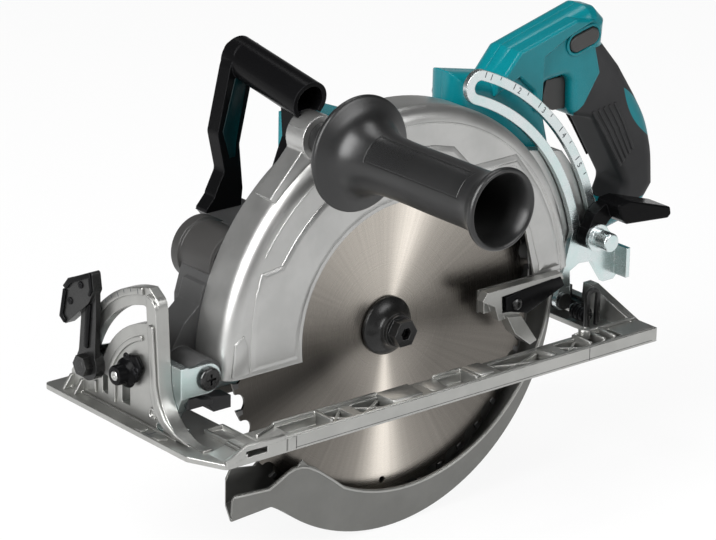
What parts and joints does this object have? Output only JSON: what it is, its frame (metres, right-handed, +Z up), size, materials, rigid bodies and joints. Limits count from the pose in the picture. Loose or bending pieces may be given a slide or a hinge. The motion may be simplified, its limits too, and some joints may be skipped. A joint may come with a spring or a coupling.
{
  "type": "rear handle circular saw",
  "caption": "Rear-handle circular saw with a tilting ribbed base, retracting lower guard, slotted depth guide, side grip, loop front handle and enclosed gear drive.",
  "frame": {"origin": "on the sole plane straight below the blade arbor, in the blade mid-plane", "axes": "+X to the front of the saw, +Y to the blade side, +Z up from the sole"},
  "size_m": [0.4763, 0.314, 0.3378],
  "materials": {
    "cast_alloy": "satin",
    "guard_casting": "satin",
    "gear_casting": "matte",
    "guard_steel": "satin",
    "zinc_steel": "satin",
    "black_steel": "satin",
    "blade_steel": "brushed",
    "machined_steel": "satin",
    "black_plastic": "satin",
    "grey_plastic": "satin",
    "teal_plastic": "satin",
    "grip_rubber": "matte",
    "lever_steel": "satin"
  },
  "bodies": {
    "base": {"base_plate": "cast_alloy", "bevel_quadrant": "cast_alloy", "front_bevel_pin": "zinc_steel", "rear_bevel_pin": "zinc_steel"},
    "stop_knob": {"stop_knob": "black_plastic"},
    "tilt_frame": {"front_bracket": "zinc_steel", "depth_bumper": "grip_rubber", "depth_pivot_screw": "black_steel", "bevel_clamp_bolt": "black_steel", "rear_bracket": "black_steel", "guide_pin": "black_steel"},
    "bevel_lever": {"bevel_lever": "black_steel"},
    "depth_guide": {"depth_guide": "zinc_steel"},
    "saw_body": {"upper_guard": "guard_casting", "bearing_retainer": "gear_casting", "guard_spring": "zinc_steel", "gear_case": "gear_casting", "dust_port": "black_plastic", "motor_housing": "teal_plastic", "motor_end_cap": "teal_plastic", "stator": "machined_steel", "controller": "black_plastic", "handle_left": "teal_plastic", "handle_right": "teal_plastic", "grip_skin": "grip_rubber", "switch_unit": "black_plastic", "battery_seat": "black_plastic", "side_grip": "grey_plastic", "side_grip_stud": "zinc_steel", "front_handle": "black_plastic", "depth_clamp_bolt": "zinc_steel", "spindle_bearing": "machined_steel", "spindle_tail_bearing": "machined_steel", "rotor_bearing": "machined_steel", "rotor_end_bearing": "machined_steel"},
    "depth_lever": {"depth_lever": "black_plastic"},
    "spindle": {"spindle": "machined_steel", "drive_gear": "machined_steel", "inner_flange": "black_steel", "blade": "blade_steel", "outer_flange": "black_steel", "blade_bolt": "black_steel"},
    "rotor": {"rotor_shaft": "machined_steel", "rotor_core": "machined_steel", "pinion": "machined_steel", "cooling_fan": "black_plastic"},
    "lower_guard": {"lower_guard": "guard_steel", "retract_lever": "lever_steel"},
    "trigger": {"trigger": "black_plastic"},
    "lock_off_button": {"lock_off_button": "black_plastic"}
  },
  "joints": [
    {"name": "bevel", "type": "hinge", "parent": "base", "child": "tilt_frame", "pos_m": [0, 0, 0.006], "axis": [-1, 0, 0], "range_deg": [0, 50]},
    {"name": "bevel_clamp", "type": "hinge", "parent": "tilt_frame", "child": "bevel_lever", "pos_m": [0.19, -0.07085, 0.02902], "axis": [1, 0, 0], "range_deg": [0, 70]},
    {"name": "stop_turn", "type": "hinge", "parent": "base", "child": "stop_knob", "pos_m": [0.19, -0.028, 0.038], "axis": [1, 0, 0], "range_deg": [0, 90]},
    {"name": "depth", "type": "hinge", "parent": "tilt_frame", "child": "saw_body", "pos_m": [0.158, 0, 0.037], "axis": [0, 1, 0], "range_deg": [0, 25]},
    {"name": "guide_swing", "type": "hinge", "parent": "tilt_frame", "child": "depth_guide", "pos_m": [-0.168, 0, 0.012], "axis": [0, -1, 0], "range_deg": [0, 20]},
    {"name": "depth_clamp", "type": "hinge", "parent": "saw_body", "child": "depth_lever", "pos_m": [-0.188, 0, 0.058], "axis": [0, 1, 0], "range_deg": [0, 60]},
    {"name": "blade_spin", "type": "hinge", "parent": "saw_body", "child": "spindle", "pos_m": [0, 0, 0.034], "axis": [0, 1, 0], "continuous": true},
    {"name": "rotor_spin", "type": "hinge", "parent": "saw_body", "child": "rotor", "pos_m": [-0.01649, 0, 0.05755], "axis": [0, 1, 0], "continuous": true},
    {"name": "guard_retract", "type": "hinge", "parent": "saw_body", "child": "lower_guard", "pos_m": [0, 0, 0.034], "axis": [0, 1, 0], "range_deg": [0, 120], "stiffness_Nm_per_rad": 0.35, "springref_deg": -57.3},
    {"name": "trigger_pull", "type": "slide", "parent": "saw_body", "child": "trigger", "axis": [-1, 0, 0], "range_m": [0, 0.006], "stiffness_N_per_m": 500, "springref_m": -0.002},
    {"name": "lock_off_push", "type": "slide", "parent": "saw_body", "child": "lock_off_button", "axis": [0, -1, 0], "range_m": [0, 0.0025], "stiffness_N_per_m": 800, "springref_m": -0.001}
  ],
  "couplings": [
    {"joint": "guide_swing", "follows": "depth", "ratio": 0.79},
    {"joint": "rotor_spin", "follows": "blade_spin", "ratio": -3.6}
  ]
}
